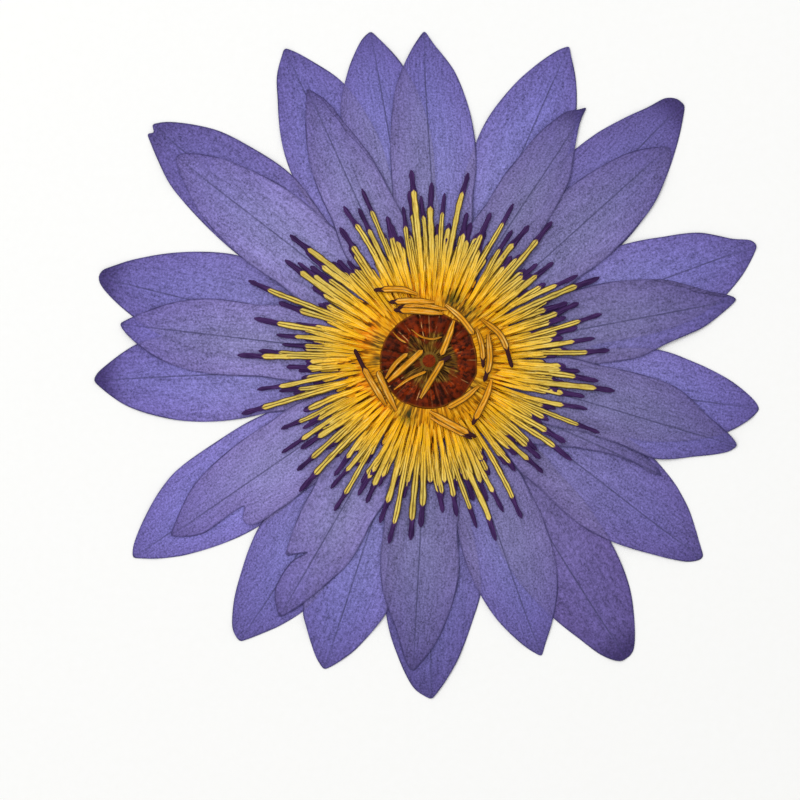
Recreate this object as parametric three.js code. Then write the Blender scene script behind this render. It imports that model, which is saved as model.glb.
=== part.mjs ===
// Pressed water lily flower, lying flat and face up.
// Millimetres, +Z up. The origin is the middle of the flower, on the surface that it lies on.
// Azimuths are in degrees, counter-clockwise from +X as seen from above.
// The petals lie in flat layers, with the stamens in three fans above them and the pistil
// standing through the middle.

import * as THREE from "three";

const sheetGap = 0.3; // clear space between two sheets that lie on each other

const petalSize = {
  thickness: 0.3,
  clawRadius: 11.3, // where every petal starts, just outside the receptacle
  clawHalfWidth: 2,
  shoulderRadius: 24,
  shoulderHalfWidth: 5.4,
  marginStep: 4.2, // distance between points along a margin
};

const stamenSize = {
  thickness: 0.5,
  ringRadius: 11.3, // inner edge of the ring that the filaments grow from
  rootRadius: 20, // where the filaments part from one another
  rootWidth: 1.1,
  tipWidth: 0.8,
  fansPerRing: 6,
  fanGapDegrees: 1.6,
  arcSteps: 5,
};

// The short stamens are evenly spread, then made uneven by two slow waves.
const shortStamens = {
  perFan: 10,
  reach: 28.2,
  reachSpread: 2.6,
  swingDegrees: 1.1,
  reachWave: 2.4, // radians from one stamen to the next
  swingWave: 1.7,
};

const curledSize = { thickness: 0.5, width: 1.1, tipWidth: 0.7, steps: 9 };

const pistilSize = {
  footRadius: 9.2,
  neckRadius: 10.1,
  discRadius: 10.9,
  discHeight: 4.5,
  rimThickness: 0.9,
  rimWidth: 0.5,
  dishRadius: 7.1, // flat out to here, then rising to the rim
  dishDepth: 0.25,
  knobRadius: 1.6,
  knobSpread: 0.3, // how far the knob's foot stands out
  knobTopRadius: 1,
  knobHeight: 5.1,
  sides: 40,
};

const finishes = {
  outerPetal: { color: 0x7770b4, roughness: 0.85 },
  innerPetal: { color: 0x736ea5, roughness: 0.85 },
  narrowPetal: { color: 0x625b92, roughness: 0.85 },
  stamen: { color: 0xd3a63c, roughness: 0.8 },
  curledStamen: { color: 0xd8901e, roughness: 0.7 },
  pistil: { color: 0x5a1f12, roughness: 0.45 },
};

const sharp = "sharp"; // a point where a margin turns a corner

// Each petal: layer 0 lies on the surface. claw is the azimuth it grows at. tip, and the two
// margins from the tip inwards, are [radius, azimuth] pairs; clockwise is the side of the
// smaller azimuths. Inside the last pair a margin runs straight in to the claw.
const outerPetals = [
  {
    layer: 1,
    claw: 18.5,
    tip: [[76.8, 19.4], [75.9, 20.6]],
    clockwise: [[75.4, 18.1], [72, 15.5], [67.5, 12.7], [60, 9.4], [50, 7]],
    counter: [[72.3, 21.9], [66.1, 25.4], [58.4, 28], [50.5, 30.8], [40, 33]],
  },
  {
    layer: 0,
    claw: 45,
    tip: [[78, 48.1], [79.7, 46.7], [79.9, 45], [78.5, 44.2]],
    clockwise: [[74.8, 42.2], [65.7, 37.5], [55.6, 33.1], [50.4, 31.3], [40, 30]],
    counter: [[74.1, 49.2], [69.4, 51], [63.7, 53.2], [56.8, 55.4], [48, 58], [40, 60]],
  },
  {
    layer: 1,
    claw: 65.8,
    tip: [[76.2, 66]],
    clockwise: [[74.4, 65.1], [71.2, 63.1], [64.6, 59.7], [56, 56.5], [46, 54]],
    counter: [[74.1, 67.6], [66, 71.9], [56, 76.1], [49.3, 77.9], [40, 79.5]],
  },
  {
    layer: 1,
    claw: 99.9,
    tip: [[74, 100]],
    clockwise: [[72.5, 99.1], [68.2, 96.5], [61, 93], [50, 89.5], [40, 88]],
    counter: [[72.4, 101.9], [68.6, 104.4], [59.1, 109.3], [50, 111], [40, 112]],
  },
  {
    layer: 0,
    claw: 114.3,
    tip: [[76.2, 114.8]],
    clockwise: [[73.8, 113], [69.5, 110.3], [64.2, 107.1], [52, 103], [40, 101.5]],
    counter: [[71.5, 118], [66.6, 120.1], [59.3, 123.5], [51, 126.4], [40, 127.5]],
  },
  {
    layer: 1,
    claw: 139.5,
    tip: [[80.1, 141.1, sharp], [78.7, 140.3, sharp], [80.5, 139.5, sharp]],
    clockwise: [[78.3, 137.6], [69.9, 132.9], [62.4, 130.1], [51, 126.4], [40, 126]],
    counter: [[74.9, 143.3], [69.8, 145.5], [60.4, 148.1], [47.9, 151], [38, 152]],
  },
  {
    layer: 0,
    claw: 165,
    tip: [[75.4, 165.7]],
    clockwise: [[74.9, 164.4], [70, 161.6], [60, 156.4], [48, 151], [38, 150]],
    counter: [[74.7, 166.7], [72.8, 168], [66.1, 171.5], [56, 176], [44, 179]],
  },
  {
    layer: 1,
    claw: 184,
    tip: [[74.2, 183.4]],
    clockwise: [[73.2, 182], [68.6, 179], [64.9, 176.8], [54, 173], [44, 171]],
    counter: [[72.5, 184.8], [67.7, 188.3], [60.2, 191.9], [52.8, 194.7], [41.7, 197.3]],
  },
  {
    layer: 0,
    claw: 212.6,
    tip: [[78.6, 213.6]],
    clockwise: [[77.1, 212.1], [70.7, 208.3], [62.3, 204], [50.7, 200.9], [38.3, 197.9]],
    counter: [[74.4, 215.9], [70, 218], [60.3, 221.7], [52.2, 224.2], [40, 226]],
  },
  {
    layer: 1,
    claw: 235.3,
    tip: [[74.8, 236]],
    clockwise: [[73.4, 233.8], [66.6, 230.1], [60.9, 227.7], [52.2, 224.2], [42, 223]],
    counter: [[72.6, 237.3], [66.7, 240.8], [62, 243.2], [52, 246], [42, 247.5]],
  },
  {
    layer: 2,
    claw: 250.3,
    tip: [[72, 251.2]],
    clockwise: [[70.2, 249.3], [64.6, 245.2], [61.8, 243.2], [52, 240.5], [42, 239]],
    counter: [[70.5, 252.5], [66.6, 255.2], [60.5, 258.4], [56.8, 260.2], [44, 262]],
  },
  {
    layer: 0,
    claw: 270.3,
    tip: [[74.8, 270.4]],
    clockwise: [[72.6, 267.6], [65.4, 263.9], [56.8, 260.4], [46, 258.5]],
    counter: [[72.5, 271.9], [66.3, 275.5], [58.4, 279.4], [52.9, 282.4], [44, 284]],
  },
  {
    layer: 0,
    claw: 305,
    tip: [[77.5, 305.8], [78.7, 304.5], [78.8, 302.7], [77.5, 301.6]],
    clockwise: [[74.6, 300.1], [69.7, 298.4], [63, 295.8], [52, 292], [42, 290.5]],
    counter: [[75, 307.3], [67.6, 311.2], [59.7, 314.2], [50, 317], [40, 319]],
  },
  {
    layer: 1,
    claw: 326,
    tip: [[74.4, 324.6], [74.3, 323.8]],
    clockwise: [[72.5, 322.3], [64.9, 319], [56.6, 315.3], [49, 312.6], [38.9, 311.3]],
    counter: [[71.8, 326.2], [66.2, 330.2], [59.9, 333.9], [54.4, 336.5], [42, 340]],
  },
  {
    layer: 0,
    claw: 351,
    tip: [[73.8, 351.7]],
    clockwise: [[72.4, 350.1], [67.7, 346.6], [60, 343], [50, 339.5], [40, 338.5]],
    counter: [[72.5, 353], [66.3, 356.5], [56.8, 360.5], [50.5, 362.9], [40, 364]],
  },
];

const innerPetals = [
  {
    layer: 2,
    claw: 12,
    tip: [[69.3, 11.3]],
    clockwise: [[66.8, 9.9], [61.5, 7.2], [52.7, 4.2], [47, 1.3], [38.6, -0.6]],
    counter: [[68.2, 12.2], [63.2, 14.2], [55.8, 18.6], [48, 21.9], [39, 25]],
  },
  {
    layer: 2,
    claw: 41.5,
    tip: [[71.1, 41.8]],
    clockwise: [[69.6, 39.9], [61.8, 35.5], [55, 33], [44, 29.9], [36, 29]],
    counter: [[67.5, 44.2], [63.3, 46.4], [55.1, 49.3], [51.3, 50.5], [40, 53]],
  },
  {
    layer: 3,
    claw: 60,
    tip: [[66.1, 58.1], [64.5, 59.3]],
    clockwise: [[62.9, 57.8], [56.8, 55.5], [51.9, 52.9], [45.8, 50.9], [37, 49]],
    counter: [[62.9, 61.1], [54.8, 64.7], [50.2, 65.9], [44.7, 67.9], [35, 70.3]],
  },
  {
    layer: 2,
    claw: 88,
    tip: [[73.1, 90.8]],
    clockwise: [[69.9, 89.1], [64.6, 85.2], [55.1, 80.4], [45.2, 76.6], [36, 75]],
    counter: [[69.5, 92.9], [61, 96.9], [51.3, 99.5], [44.1, 101.1], [38.6, 102.1]],
  },
  {
    layer: 3,
    claw: 114,
    tip: [[66.1, 114.1]],
    clockwise: [[61.7, 111.5], [56.1, 109.7], [47.3, 106], [41.6, 104], [34.8, 102.1]],
    counter: [[62.1, 116], [57.5, 118.3], [53.1, 120.3], [46.9, 122.5], [38, 124.5]],
  },
  {
    layer: 2,
    claw: 139.5,
    tip: [[71.6, 141.5], [71.8, 140.4]],
    clockwise: [[64.7, 136], [58.5, 133.4], [50.1, 129.9], [37, 126.3]],
    counter: [[68.8, 143], [60.2, 147.2], [53.2, 149.4], [43.3, 151.9], [38, 152.6]],
  },
  {
    layer: 2,
    claw: 173,
    tip: [[68.9, 173.1]],
    clockwise: [[66.1, 171.5], [58.4, 167.3], [49.8, 163.9], [40.2, 161.9], [33.8, 159.7]],
    counter: [[67.3, 174.7], [60.9, 178.9], [53.7, 181.9], [44, 184.2], [34, 185.5]],
  },
  {
    layer: 2,
    claw: 213.5,
    tip: [[69, 214]],
    clockwise: [[66, 212.2], [59.1, 208], [50.7, 204.8], [41.2, 201.9], [34, 200.5]],
    counter: [
      [66.7, 215.6], [63, 217.3], [55.2, 217.6, sharp], [51.5, 218, sharp],
      [54.1, 220.2], [54.2, 221.5], [52.5, 223.3], [46.7, 224.7], [36.6, 226.8],
    ],
  },
  {
    layer: 3,
    claw: 239.4,
    tip: [[65.7, 239.7]],
    clockwise: [
      [62.5, 237], [59.8, 235.7], [53.8, 235.5, sharp], [49.7, 237.9, sharp],
      [53.5, 233.5, sharp], [49.2, 231.7], [44, 229.6], [35.2, 226.9],
    ],
    counter: [[62.2, 241.6], [53.7, 245.6], [49.7, 247.6], [45, 249.1], [36, 250.7]],
  },
  {
    layer: 3,
    claw: 267.3,
    tip: [[68.7, 267.1]],
    clockwise: [[66.9, 265.7], [59.7, 263], [51.8, 258.6], [44, 255.9], [36, 254.6]],
    counter: [[67, 268.2], [61.2, 272], [53, 275.9], [48.4, 277.7], [39.3, 279.2]],
  },
  {
    layer: 1,
    claw: 292.5,
    tip: [[69.9, 290.9]],
    clockwise: [[67.2, 289], [59.8, 285.1], [52.8, 282.4], [44.8, 280.2], [37.5, 279.7]],
    counter: [[67.9, 292.1], [63, 295.8], [56.9, 300], [48.5, 303.9], [38, 307]],
  },
  {
    layer: 3,
    claw: 346,
    tip: [[70.7, 344.7]],
    clockwise: [[69.1, 343.2], [61.8, 340], [54.4, 336.6], [47.2, 336.4], [37.6, 335.5]],
    counter: [[68.8, 346], [62.4, 349.1], [55.8, 353.5], [48.5, 356], [37, 358.6]],
  },
];

// The one slim petal, lying between a broad outer petal and the broad inner petal over it.
const narrowPetal = {
  layer: 2,
  claw: 332,
  tip: [[57.4, 333.7]],
  clockwise: [[54, 333.1], [51.3, 333.6], [45.1, 332.8], [38.5, 329.9]],
  counter: [[55.5, 335], [50, 337], [42, 339.5], [34, 341]],
};

// The ends of the long stamens as [reach, azimuth], one line for each sixth of the flower.
const longStamens = [
  [[39.9, 2.8], [36.9, 7.7], [33.5, 11.9], [39.5, 14.9], [31.7, 17.6], [35.4, 20], [33.1, 23.6],
    [41.9, 26.9], [37.9, 30.5], [35, 38.7], [32.1, 42], [41, 48.2], [37.1, 54.5], [34.2, 58.4]],
  [[39.4, 61.6], [31.1, 65.6], [35.4, 67.4], [31.9, 72], [33.8, 74.5], [42.4, 79.1], [37.2, 85.2],
    [39.4, 90], [36.5, 92], [42.3, 95.2], [37.8, 96.4], [34.5, 100.2], [31.4, 104.5],
    [33.2, 107.3], [40.8, 111], [37.1, 114.7], [39, 118]],
  [[35.4, 123.6], [30, 132.5], [41.4, 137.3], [36.6, 139.1], [33.5, 140.9], [36.2, 143.7],
    [38.8, 145.3], [43.6, 156.4], [35.6, 159], [30.5, 162.8], [39.7, 166.4], [34.2, 169.5],
    [32.6, 173.5], [37.7, 177.2], [42.3, 178.6]],
  [[31.5, 183.3], [38.4, 190.1], [33.7, 192.5], [43, 195.7], [35.9, 205.7], [31.6, 207.8],
    [38.3, 211.8], [34.3, 214.4], [37.8, 219.7], [40.6, 224.7], [32.8, 230], [35.5, 233.2],
    [39.1, 238]],
  [[33.5, 242.3], [34.2, 245.9], [37.3, 254], [41.2, 258.2], [39.7, 263.7], [36.7, 267.8],
    [33.6, 274], [34.8, 280.9], [38.3, 285.8], [32.3, 288.3], [42.3, 291.4], [33.5, 293.2],
    [37.1, 296.1]],
  [[40.3, 301.5], [30.8, 309.1], [35.2, 315], [32.6, 319.7], [38.3, 326.1], [35, 329.6],
    [40.8, 336.9], [36.5, 342], [35.2, 346.2], [41.5, 351], [37.6, 354], [33.3, 356.4]],
];

// The stamens that have curled over the pistil, each from its root to its dark tip, as [x, y].
const curledStamens = [
  [[-2.6, 14.7], [-6.1, 15.7], [-12.2, 15.6]],
  [[1.2, 12.9], [-4, 13.2], [-8.8, 12.9]],
  [[3, 10.4], [-1.7, 10.9], [-7.8, 11.2]],
  [[3.6, 12.4], [6.9, 9.6], [9.8, 5.8]],
  [[13, 5.9], [13.3, -0.2], [12.1, -4.6]],
  [[11.5, 9.2], [15.8, 5.5], [18.3, -1.5]],
  [[11, -5.5], [7.7, -8.2], [4.1, -10.3]],
  [[13.7, -4.2], [12.8, -7.3], [9.5, -14.1]],
  [[0.1, -11.1], [5, -13.9], [10.4, -16.8]],
  [[-9.5, -9.8], [-12.9, -4.2], [-14.9, -0.5], [-16.4, 2.6]],
  [[-9.1, -4.6], [-5, -0.9], [-1.4, 2.4]],
  [[-1.9, -8.2], [0.9, -3.4], [3.3, 0.2], [4.9, 1]],
  [[5.5, 8.9], [4.2, 5], [2.6, 1.2]],
];

function polar(radius, azimuth) {
  const angle = THREE.MathUtils.degToRad(azimuth);
  return new THREE.Vector3(radius * Math.cos(angle), radius * Math.sin(angle), 0);
}

function besideAzimuth(radius, azimuth, sideways) {
  const turn = THREE.MathUtils.radToDeg(Math.asin(sideways / radius));
  return polar(radius, azimuth + turn);
}

function makeMesh(name, geometry, finish) {
  const material = new THREE.MeshStandardMaterial({ ...finish, metalness: 0 });
  const mesh = new THREE.Mesh(geometry, material);
  mesh.name = name;
  return mesh;
}

function plate(outline, thickness) {
  const shape = new THREE.Shape(outline.map((point) => new THREE.Vector2(point.x, point.y)));
  return new THREE.ExtrudeGeometry(shape, { depth: thickness, bevelEnabled: false });
}

// A smooth line through every point, which turns a corner only where one is marked.
function marginLine(points, corners, step) {
  const line = [points[0]];
  let start = 0;
  for (let end = 1; end < points.length; end += 1) {
    if (!corners[end] && end < points.length - 1) {
      continue;
    }
    const stretch = points.slice(start, end + 1);
    const curve = new THREE.CatmullRomCurve3(stretch, false, "centripetal");
    const spans = stretch.length - 1;
    for (let span = 0; span < spans; span += 1) {
      const length = stretch[span].distanceTo(stretch[span + 1]);
      const pieces = Math.max(1, Math.round(length / step));
      for (let piece = 1; piece <= pieces; piece += 1) {
        line.push(curve.getPoint((span + piece / pieces) / spans));
      }
    }
    start = end;
  }
  return line;
}

function petalOutline(petal) {
  const size = petalSize;
  const pairs = [...petal.clockwise].reverse();
  pairs.push(...[...petal.tip].sort((first, second) => first[1] - second[1]));
  pairs.push(...petal.counter);
  const points = pairs.map(([radius, azimuth]) => polar(radius, azimuth));
  points.unshift(besideAzimuth(size.shoulderRadius, petal.claw, -size.shoulderHalfWidth));
  points.unshift(besideAzimuth(size.clawRadius, petal.claw, -size.clawHalfWidth));
  points.push(besideAzimuth(size.shoulderRadius, petal.claw, size.shoulderHalfWidth));
  points.push(besideAzimuth(size.clawRadius, petal.claw, size.clawHalfWidth));
  const pointed = petal.tip.length === 1;
  const isCorner = (pair) => pair[2] === sharp || (pointed && pair === petal.tip[0]);
  const corners = [false, false, ...pairs.map(isCorner), false, false];
  return marginLine(points, corners, size.marginStep);
}

function petalMesh(name, petal, finish) {
  const mesh = makeMesh(name, plate(petalOutline(petal), petalSize.thickness), finish);
  mesh.position.z = petal.layer * (petalSize.thickness + sheetGap);
  return mesh;
}

function arcPoints(radius, fromAzimuth, toAzimuth, steps) {
  const points = [];
  for (let step = 0; step <= steps; step += 1) {
    points.push(polar(radius, THREE.MathUtils.lerp(fromAzimuth, toAzimuth, step / steps)));
  }
  return points;
}

// One fan: a strip of the ring that the filaments grow from, with a finger for each stamen.
function stamenFan(fan, ends) {
  const size = stamenSize;
  const sector = 360 / size.fansPerRing;
  const from = fan * sector + size.fanGapDegrees / 2;
  const to = (fan + 1) * sector - size.fanGapDegrees / 2;
  const outline = arcPoints(size.ringRadius, to, from, size.arcSteps);
  ends.forEach(([reach, azimuth], index) => {
    const root = THREE.MathUtils.lerp(from, to, (index + 0.5) / ends.length);
    outline.push(besideAzimuth(size.rootRadius, root, -size.rootWidth / 2));
    outline.push(besideAzimuth(reach, azimuth, -size.tipWidth / 2));
    outline.push(besideAzimuth(reach, azimuth, size.tipWidth / 2));
    outline.push(besideAzimuth(size.rootRadius, root, size.rootWidth / 2));
  });
  return plate(outline, size.thickness);
}

function shortStamenEnds(fan) {
  const { perFan, reach, reachSpread, swingDegrees, reachWave, swingWave } = shortStamens;
  const sector = 360 / stamenSize.fansPerRing;
  const ends = [];
  for (let index = 0; index < perFan; index += 1) {
    const number = fan * perFan + index;
    const azimuth = fan * sector + ((index + 0.5) / perFan) * sector;
    const length = reach + reachSpread * Math.sin(number * reachWave);
    ends.push([length, azimuth + swingDegrees * Math.sin(number * swingWave)]);
  }
  return ends;
}

function everyOther(ends, first) {
  return ends.filter((end, index) => index % 2 === first);
}

function curledGeometry(path) {
  const { thickness, width, tipWidth, steps } = curledSize;
  const points = path.map(([x, y]) => new THREE.Vector3(x, y, 0));
  const curve = new THREE.CatmullRomCurve3(points, false, "centripetal");
  const left = [];
  const right = [];
  for (let step = 0; step <= steps; step += 1) {
    const along = step / steps;
    const middle = curve.getPointAt(along);
    const heading = curve.getTangentAt(along);
    const across = new THREE.Vector3(-heading.y, heading.x, 0);
    const half = THREE.MathUtils.lerp(width, tipWidth, along * along) / 2;
    left.push(middle.clone().addScaledVector(across, half));
    right.unshift(middle.clone().addScaledVector(across, -half));
  }
  return plate([...left, ...right], thickness);
}

function pistilGeometry() {
  const size = pistilSize;
  const dishHeight = size.discHeight - size.dishDepth;
  const profile = [
    [0, 0],
    [size.footRadius, 0],
    [size.neckRadius, size.discHeight - 2 * size.rimThickness],
    [size.discRadius, size.discHeight - size.rimThickness],
    [size.discRadius, size.discHeight - size.dishDepth],
    [size.discRadius - size.rimWidth, size.discHeight],
    [size.dishRadius, dishHeight],
    [size.knobRadius + size.knobSpread, dishHeight],
    [size.knobRadius, size.knobHeight - size.dishDepth],
    [size.knobTopRadius, size.knobHeight],
    [0, size.knobHeight],
  ];
  const points = profile.map(([radius, height]) => new THREE.Vector2(radius, height));
  return new THREE.LatheGeometry(points, size.sides).rotateX(Math.PI / 2);
}

function twoDigits(index) {
  return String(index + 1).padStart(2, "0");
}

const flower = new THREE.Group();
flower.name = "pressed_water_lily";

outerPetals.forEach((petal, index) => {
  flower.add(petalMesh(`outer_petal_${twoDigits(index)}`, petal, finishes.outerPetal));
});
innerPetals.forEach((petal, index) => {
  flower.add(petalMesh(`inner_petal_${twoDigits(index)}`, petal, finishes.innerPetal));
});
flower.add(petalMesh("narrow_petal", narrowPetal, finishes.narrowPetal));

const allPetals = [...outerPetals, ...innerPetals, narrowPetal];
const topLayer = Math.max(...allPetals.map((petal) => petal.layer));
const petalsTop = topLayer * (petalSize.thickness + sheetGap) + petalSize.thickness;
const fanRings = [
  { name: "lower_stamens", ends: (fan) => everyOther(longStamens[fan], 0) },
  { name: "middle_stamens", ends: (fan) => everyOther(longStamens[fan], 1) },
  { name: "upper_stamens", ends: shortStamenEnds },
];
fanRings.forEach((ring, level) => {
  for (let fan = 0; fan < stamenSize.fansPerRing; fan += 1) {
    const name = `${ring.name}_${fan + 1}`;
    const mesh = makeMesh(name, stamenFan(fan, ring.ends(fan)), finishes.stamen);
    mesh.position.z = petalsTop + sheetGap + level * (stamenSize.thickness + sheetGap);
    flower.add(mesh);
  }
});

curledStamens.forEach((path, index) => {
  const name = `curled_stamen_${twoDigits(index)}`;
  const mesh = makeMesh(name, curledGeometry(path), finishes.curledStamen);
  mesh.position.z = pistilSize.discHeight + sheetGap;
  flower.add(mesh);
});

flower.add(makeMesh("pistil", pistilGeometry(), finishes.pistil));

export default flower;
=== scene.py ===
import math

import bpy
import numpy as np
from mathutils.geometry import delaunay_2d_cdt
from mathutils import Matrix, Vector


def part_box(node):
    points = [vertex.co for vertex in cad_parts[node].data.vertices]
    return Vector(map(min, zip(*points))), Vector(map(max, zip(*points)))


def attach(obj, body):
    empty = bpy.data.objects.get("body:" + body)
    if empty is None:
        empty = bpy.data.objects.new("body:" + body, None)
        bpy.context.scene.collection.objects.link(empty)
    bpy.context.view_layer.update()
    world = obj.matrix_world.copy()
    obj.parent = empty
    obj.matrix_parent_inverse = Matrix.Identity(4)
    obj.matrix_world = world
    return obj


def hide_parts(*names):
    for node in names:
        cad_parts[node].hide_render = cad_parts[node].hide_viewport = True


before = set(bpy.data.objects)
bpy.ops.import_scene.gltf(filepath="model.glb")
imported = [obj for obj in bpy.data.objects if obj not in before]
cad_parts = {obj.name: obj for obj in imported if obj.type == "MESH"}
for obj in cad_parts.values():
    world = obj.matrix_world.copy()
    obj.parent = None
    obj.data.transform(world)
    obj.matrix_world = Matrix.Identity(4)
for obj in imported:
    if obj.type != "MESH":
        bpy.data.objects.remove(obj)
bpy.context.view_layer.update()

# A pressed water lily flower, lying face up. Shapes are worked out in millimetres.
mm = 0.001


def smooth(low, high, value):
    t = np.clip((value - low) / (high - low), 0, 1)
    return t * t * (3 - 2 * t)


def polar(radius, azimuth):
    angle = np.radians(azimuth)
    return np.stack([radius * np.cos(angle), radius * np.sin(angle)], -1)


def toLinear(hexColour):
    values = [int(hexColour[i:i + 2], 16) / 255 for i in (1, 3, 5)]
    linear = [v / 12.92 if v <= 0.04045 else ((v + 0.055) / 1.055) ** 2.4 for v in values]
    return (*linear, 1)


def addNode(tree, kind, inputs=None, **settings):
    # An input can be a value, a socket, or a node, whose first live output is then used.
    node = tree.nodes.new(kind)
    for name, value in settings.items():
        setattr(node, name, value)
    for key, value in (inputs or {}).items():
        if isinstance(value, bpy.types.Node):
            value = next(socket for socket in value.outputs if socket.enabled)
        if isinstance(value, bpy.types.NodeSocket):
            tree.links.new(value, node.inputs[key])
        else:
            node.inputs[key].default_value = value
    return node


def newMaterial(name, roughness, specular=0.5):
    material = bpy.data.materials.new(name)
    material.use_nodes = True
    tree = material.node_tree
    shader = tree.nodes["Principled BSDF"]
    shader.inputs["Roughness"].default_value = roughness
    shader.inputs["Specular IOR Level"].default_value = specular
    return material, tree, shader


def makePiece(name, vertices, faces, pointValues, faceValues, material, replaced):
    mesh = bpy.data.meshes.new(name)
    mesh.from_pydata((np.asarray(vertices) * mm).tolist(), [], faces)
    mesh.polygons.foreach_set("use_smooth", [True] * len(mesh.polygons))
    mesh.set_sharp_from_angle(angle=math.radians(50))
    for key, values in pointValues.items():
        attribute = mesh.attributes.new(key, "FLOAT", "POINT")
        attribute.data.foreach_set("value", np.asarray(values, np.float32))
    for key, values in faceValues.items():
        attribute = mesh.attributes.new(key, "FLOAT", "CORNER")
        spread = np.repeat(values, [len(face) for face in faces])
        attribute.data.foreach_set("value", spread.astype(np.float32))
    mesh.materials.append(material)
    piece = bpy.data.objects.new(name, mesh)
    bpy.context.scene.collection.objects.link(piece)
    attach(piece, "root")
    if replaced:
        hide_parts(*replaced)
    return piece


def flatOutline(node):
    # The edge of a CAD plate as seen from above, counter-clockwise, in millimetres.
    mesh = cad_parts[node].data
    keys = [tuple(int(round(c * 1e6)) for c in vertex.co[:2]) for vertex in mesh.vertices]
    edges = set()
    for polygon in mesh.polygons:
        if polygon.normal.z > 0.9:
            corners = [keys[i] for i in polygon.vertices]
            edges.update(zip(corners, corners[1:] + corners[:1]))
    following = {a: b for a, b in edges if (b, a) not in edges}
    start = min(following)
    loop = [start]
    while following[loop[-1]] != start:
        loop.append(following[loop[-1]])
    return np.array(loop, float) / 1000


def segmentDistance(points, starts, ends):
    run = ends - starts
    length = np.maximum((run ** 2).sum(-1), 1e-12)
    offset = points[:, None, :] - starts[None]
    t = np.clip((offset * run).sum(-1) / length, 0, 1)
    return np.sqrt(((offset - t[..., None] * run) ** 2).sum(-1)).min(1)


def insideOutline(points, outline):
    x, y = points[:, 0, None], points[:, 1, None]
    x1, y1 = outline[:, 0], outline[:, 1]
    x2, y2 = np.roll(x1, -1), np.roll(y1, -1)
    crosses = (y1 > y) != (y2 > y)
    rise = np.where(y2 == y1, 1, y2 - y1)
    return (crosses & (x < (x2 - x1) * (y - y1) / rise + x1)).sum(1) % 2 == 1


def smoothStretch(points, step):
    # A Catmull-Rom line through the points, in steps of about the same length.
    if len(points) < 3:
        count = max(1, int(round(np.linalg.norm(points[-1] - points[0]) / step)))
        return points[0] + (points[-1] - points[0]) * np.linspace(0, 1, count + 1)[:, None]
    padded = np.vstack([2 * points[0] - points[1], points, 2 * points[-1] - points[-2]])
    line = [points[0]]
    for i in range(1, len(padded) - 2):
        a, b, c, d = padded[i - 1:i + 3]
        count = max(1, int(round(np.linalg.norm(c - b) / step)))
        for t in np.arange(1, count + 1) / count:
            line.append(0.5 * (2 * b + (c - a) * t + (2 * a - 5 * b + 4 * c - d) * t ** 2
                               + (3 * b - a - 3 * c + d) * t ** 3))
    return np.array(line)


sheets = {
    "cell": 0.5,           # spacing of the height grid
    "reach": 86.0,         # half its side
    "petalThickness": 0.13,
    "clearance": 0.03,     # air between two petals
    "bend": 3,             # cells over which a petal bends to climb onto another
}
# The height of what has been laid down so far, on a square grid
cells = int(2 * sheets["reach"] / sheets["cell"]) + 1
gridAxis = np.linspace(-sheets["reach"], sheets["reach"], cells)
gridX, gridY = np.meshgrid(gridAxis, gridAxis, indexing="ij")
gridPoints = np.stack([gridX.ravel(), gridY.ravel()], -1)
heights = np.zeros((cells, cells))


def spreadOut(field, combine, radius):
    for axis in (0, 1):
        field = combine([np.roll(field, shift, axis) for shift in range(-radius, radius + 1)])
    return field


def restingField(field, radius):
    # Smooth, and nowhere below the field it rests on.
    raised = spreadOut(field, lambda stack: np.max(stack, 0), 2 * radius)
    for _ in range(2):
        raised = spreadOut(raised, lambda stack: np.mean(stack, 0), radius)
    return raised


def sampleField(field, points):
    place = (points + sheets["reach"]) / sheets["cell"]
    low = np.clip(place.astype(int), 0, cells - 2)
    fx, fy = (place - low).T
    ix, iy = low.T
    near = field[ix, iy] * (1 - fy) + field[ix, iy + 1] * fy
    far = field[ix + 1, iy] * (1 - fy) + field[ix + 1, iy + 1] * fy
    return near * (1 - fx) + far * fx


petals = {
    "marginStep": 0.6,     # along the margin
    "gridStep": 1.05,      # inside the petal
    "clawReach": 9.7,      # claws run in to the side of the receptacle
    "wrinkle": 0.10,       # height of the soft waves that pressing leaves
    "curl": 0.22,          # how far a margin lifts here and there
    "cornerDegrees": 38,   # a margin that turns further than this keeps its corner
    "sideVeins": 4.5,      # in each half of a petal
    "baseSpread": 0.2,     # how much wider the hidden base is than the plate
}

# How light each petal has dried, how far its tip has browned to deep violet, and how far it
# leans to mauve.
petalTones = {
    "outer_petal_01": (0.97, 0.3, 0.1), "outer_petal_02": (0.84, 1.0, 0.3),
    "outer_petal_03": (1.03, 0.2, 0.0), "outer_petal_04": (1.06, 0.3, 0.0),
    "outer_petal_05": (1.01, 0.2, 0.1), "outer_petal_06": (0.90, 0.4, 0.3),
    "outer_petal_07": (0.98, 1.0, 0.2), "outer_petal_08": (1.06, 1.2, 0.2),
    "outer_petal_09": (1.18, 0.2, 0.1), "outer_petal_10": (0.99, 0.2, 0.1),
    "outer_petal_11": (1.00, 0.3, 0.0), "outer_petal_12": (0.78, 0.3, 0.1),
    "outer_petal_13": (0.74, 1.0, 0.9), "outer_petal_14": (0.84, 0.3, 0.4),
    "outer_petal_15": (0.98, 0.3, 0.1),
    "inner_petal_01": (0.83, 0.3, 0.1), "inner_petal_02": (0.94, 0.2, 0.0),
    "inner_petal_03": (0.93, 0.9, 0.0), "inner_petal_04": (1.00, 0.2, 0.0),
    "inner_petal_05": (1.09, 0.4, 0.0), "inner_petal_06": (1.22, 0.2, 0.0),
    "inner_petal_07": (1.15, 0.3, 0.1), "inner_petal_08": (1.22, 0.3, 0.2),
    "inner_petal_09": (1.11, 0.3, 0.1), "inner_petal_10": (0.86, 0.4, 0.0),
    "inner_petal_11": (0.91, 0.3, 0.1), "inner_petal_12": (0.86, 0.3, 0.0),
    "narrow_petal": (0.86, 0.2, 0.0),
}

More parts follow.
